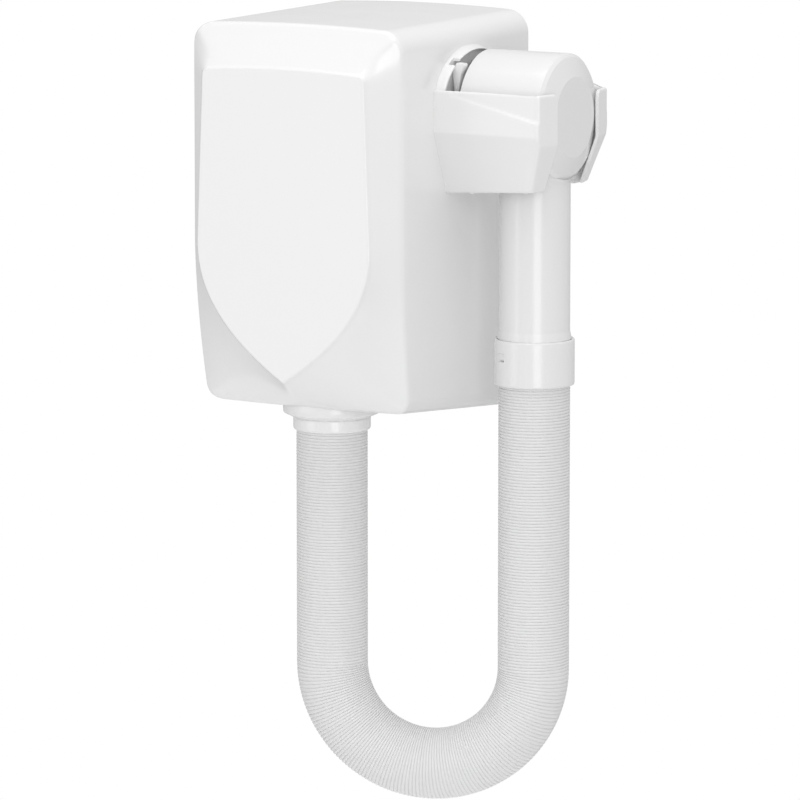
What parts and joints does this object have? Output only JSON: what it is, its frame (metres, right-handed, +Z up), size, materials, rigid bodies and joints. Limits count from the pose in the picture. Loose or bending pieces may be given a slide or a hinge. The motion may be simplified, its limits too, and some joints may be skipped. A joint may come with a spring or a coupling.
{
  "type": "wall-mounted hair dryer",
  "caption": "Wall-mounted hair dryer with a shield-fronted housing, a side holder with a lift-off right-angled handset, and a corrugated air hose in a hanging loop.",
  "frame": {"origin": "centre of the wall-screw pattern, on the wall plate's back face", "axes": "+Y into the wall, +Z up, +X towards the side with the handset holder"},
  "size_m": [0.2015, 0.162, 0.439],
  "materials": {
    "cover_white": "glossy moulded plastic, white",
    "holder_white": "glossy moulded plastic, white",
    "handset_white": "glossy moulded plastic, white",
    "plate_white": "plain moulded plastic, white",
    "hose_grey": "flexible corrugated plastic, light grey-white",
    "duct_grey": "heat-resistant plastic, dark grey",
    "steel": "plated steel",
    "ferrite": "sintered ferrite, stood in for by a matt dark finish",
    "bronze": "sintered bronze",
    "mica": "mica board",
    "element_wire": "resistance wire",
    "thermostat_metal": "pressed aluminium",
    "seal_rubber": "soft black rubber",
    "filter_foam": "open-cell foam pad",
    "board_green": "resin board",
    "capacitor_sleeve": "plastic sleeve"
  },
  "bodies": {
    "wall_unit": {"wall_plate": "plate_white", "front_cover": "cover_white", "cover_screws": "steel", "intake_grille": "cover_white", "intake_filter": "filter_foam", "blower_housing": "duct_grey", "blower_lid": "duct_grey", "blower_strap": "duct_grey", "motor_bracket": "duct_grey", "motor_can": "steel", "motor_end_cap": "steel", "motor_bushes": "bronze", "motor_magnets": "ferrite", "heater_sleeve": "steel", "heater_frame": "mica", "heater_coils": "element_wire", "thermostat": "thermostat_metal", "thermal_fuse": "thermostat_metal", "duct_seal": "seal_rubber", "outlet_spigot": "cover_white", "terminal_block": "plate_white", "terminal_screws": "steel", "cable_grommet": "seal_rubber", "cable_clamp": "plate_white", "clamp_screws": "steel", "control_board": "board_green", "capacitor": "capacitor_sleeve", "micro_switch": "duct_grey", "holder_bracket": "holder_white", "holder_screws": "steel", "slider_spring": "steel", "hose": "hose_grey", "hose_collar": "cover_white"},
    "handset": {"handset_tube": "handset_white", "handset_cuff": "handset_white", "cuff_catch": "handset_white", "drum_shell": "handset_white", "drum_cap": "handset_white", "outlet_grille": "handset_white"},
    "switch_tab": {"switch_slider": "holder_white"},
    "fan_rotor": {"impeller": "duct_grey", "motor_shaft": "steel", "armature": "steel"}
  },
  "joints": [
    {"name": "handset_lift", "type": "slide", "parent": "wall_unit", "child": "handset", "axis": [0, 0, 1], "range_m": [0, 0.06]},
    {"name": "tab_rise", "type": "slide", "parent": "wall_unit", "child": "switch_tab", "axis": [0, 0, 1], "range_m": [0, 0.0025], "deforming": ["slider_spring"]},
    {"name": "fan_spin", "type": "hinge", "parent": "wall_unit", "child": "fan_rotor", "pos_m": [0, -0.1075, 0], "axis": [0, 0, 1], "continuous": true}
  ],
  "couplings": [
    {"joint": "tab_rise", "follows": "handset_lift", "ratio": 0.0416}
  ]
}
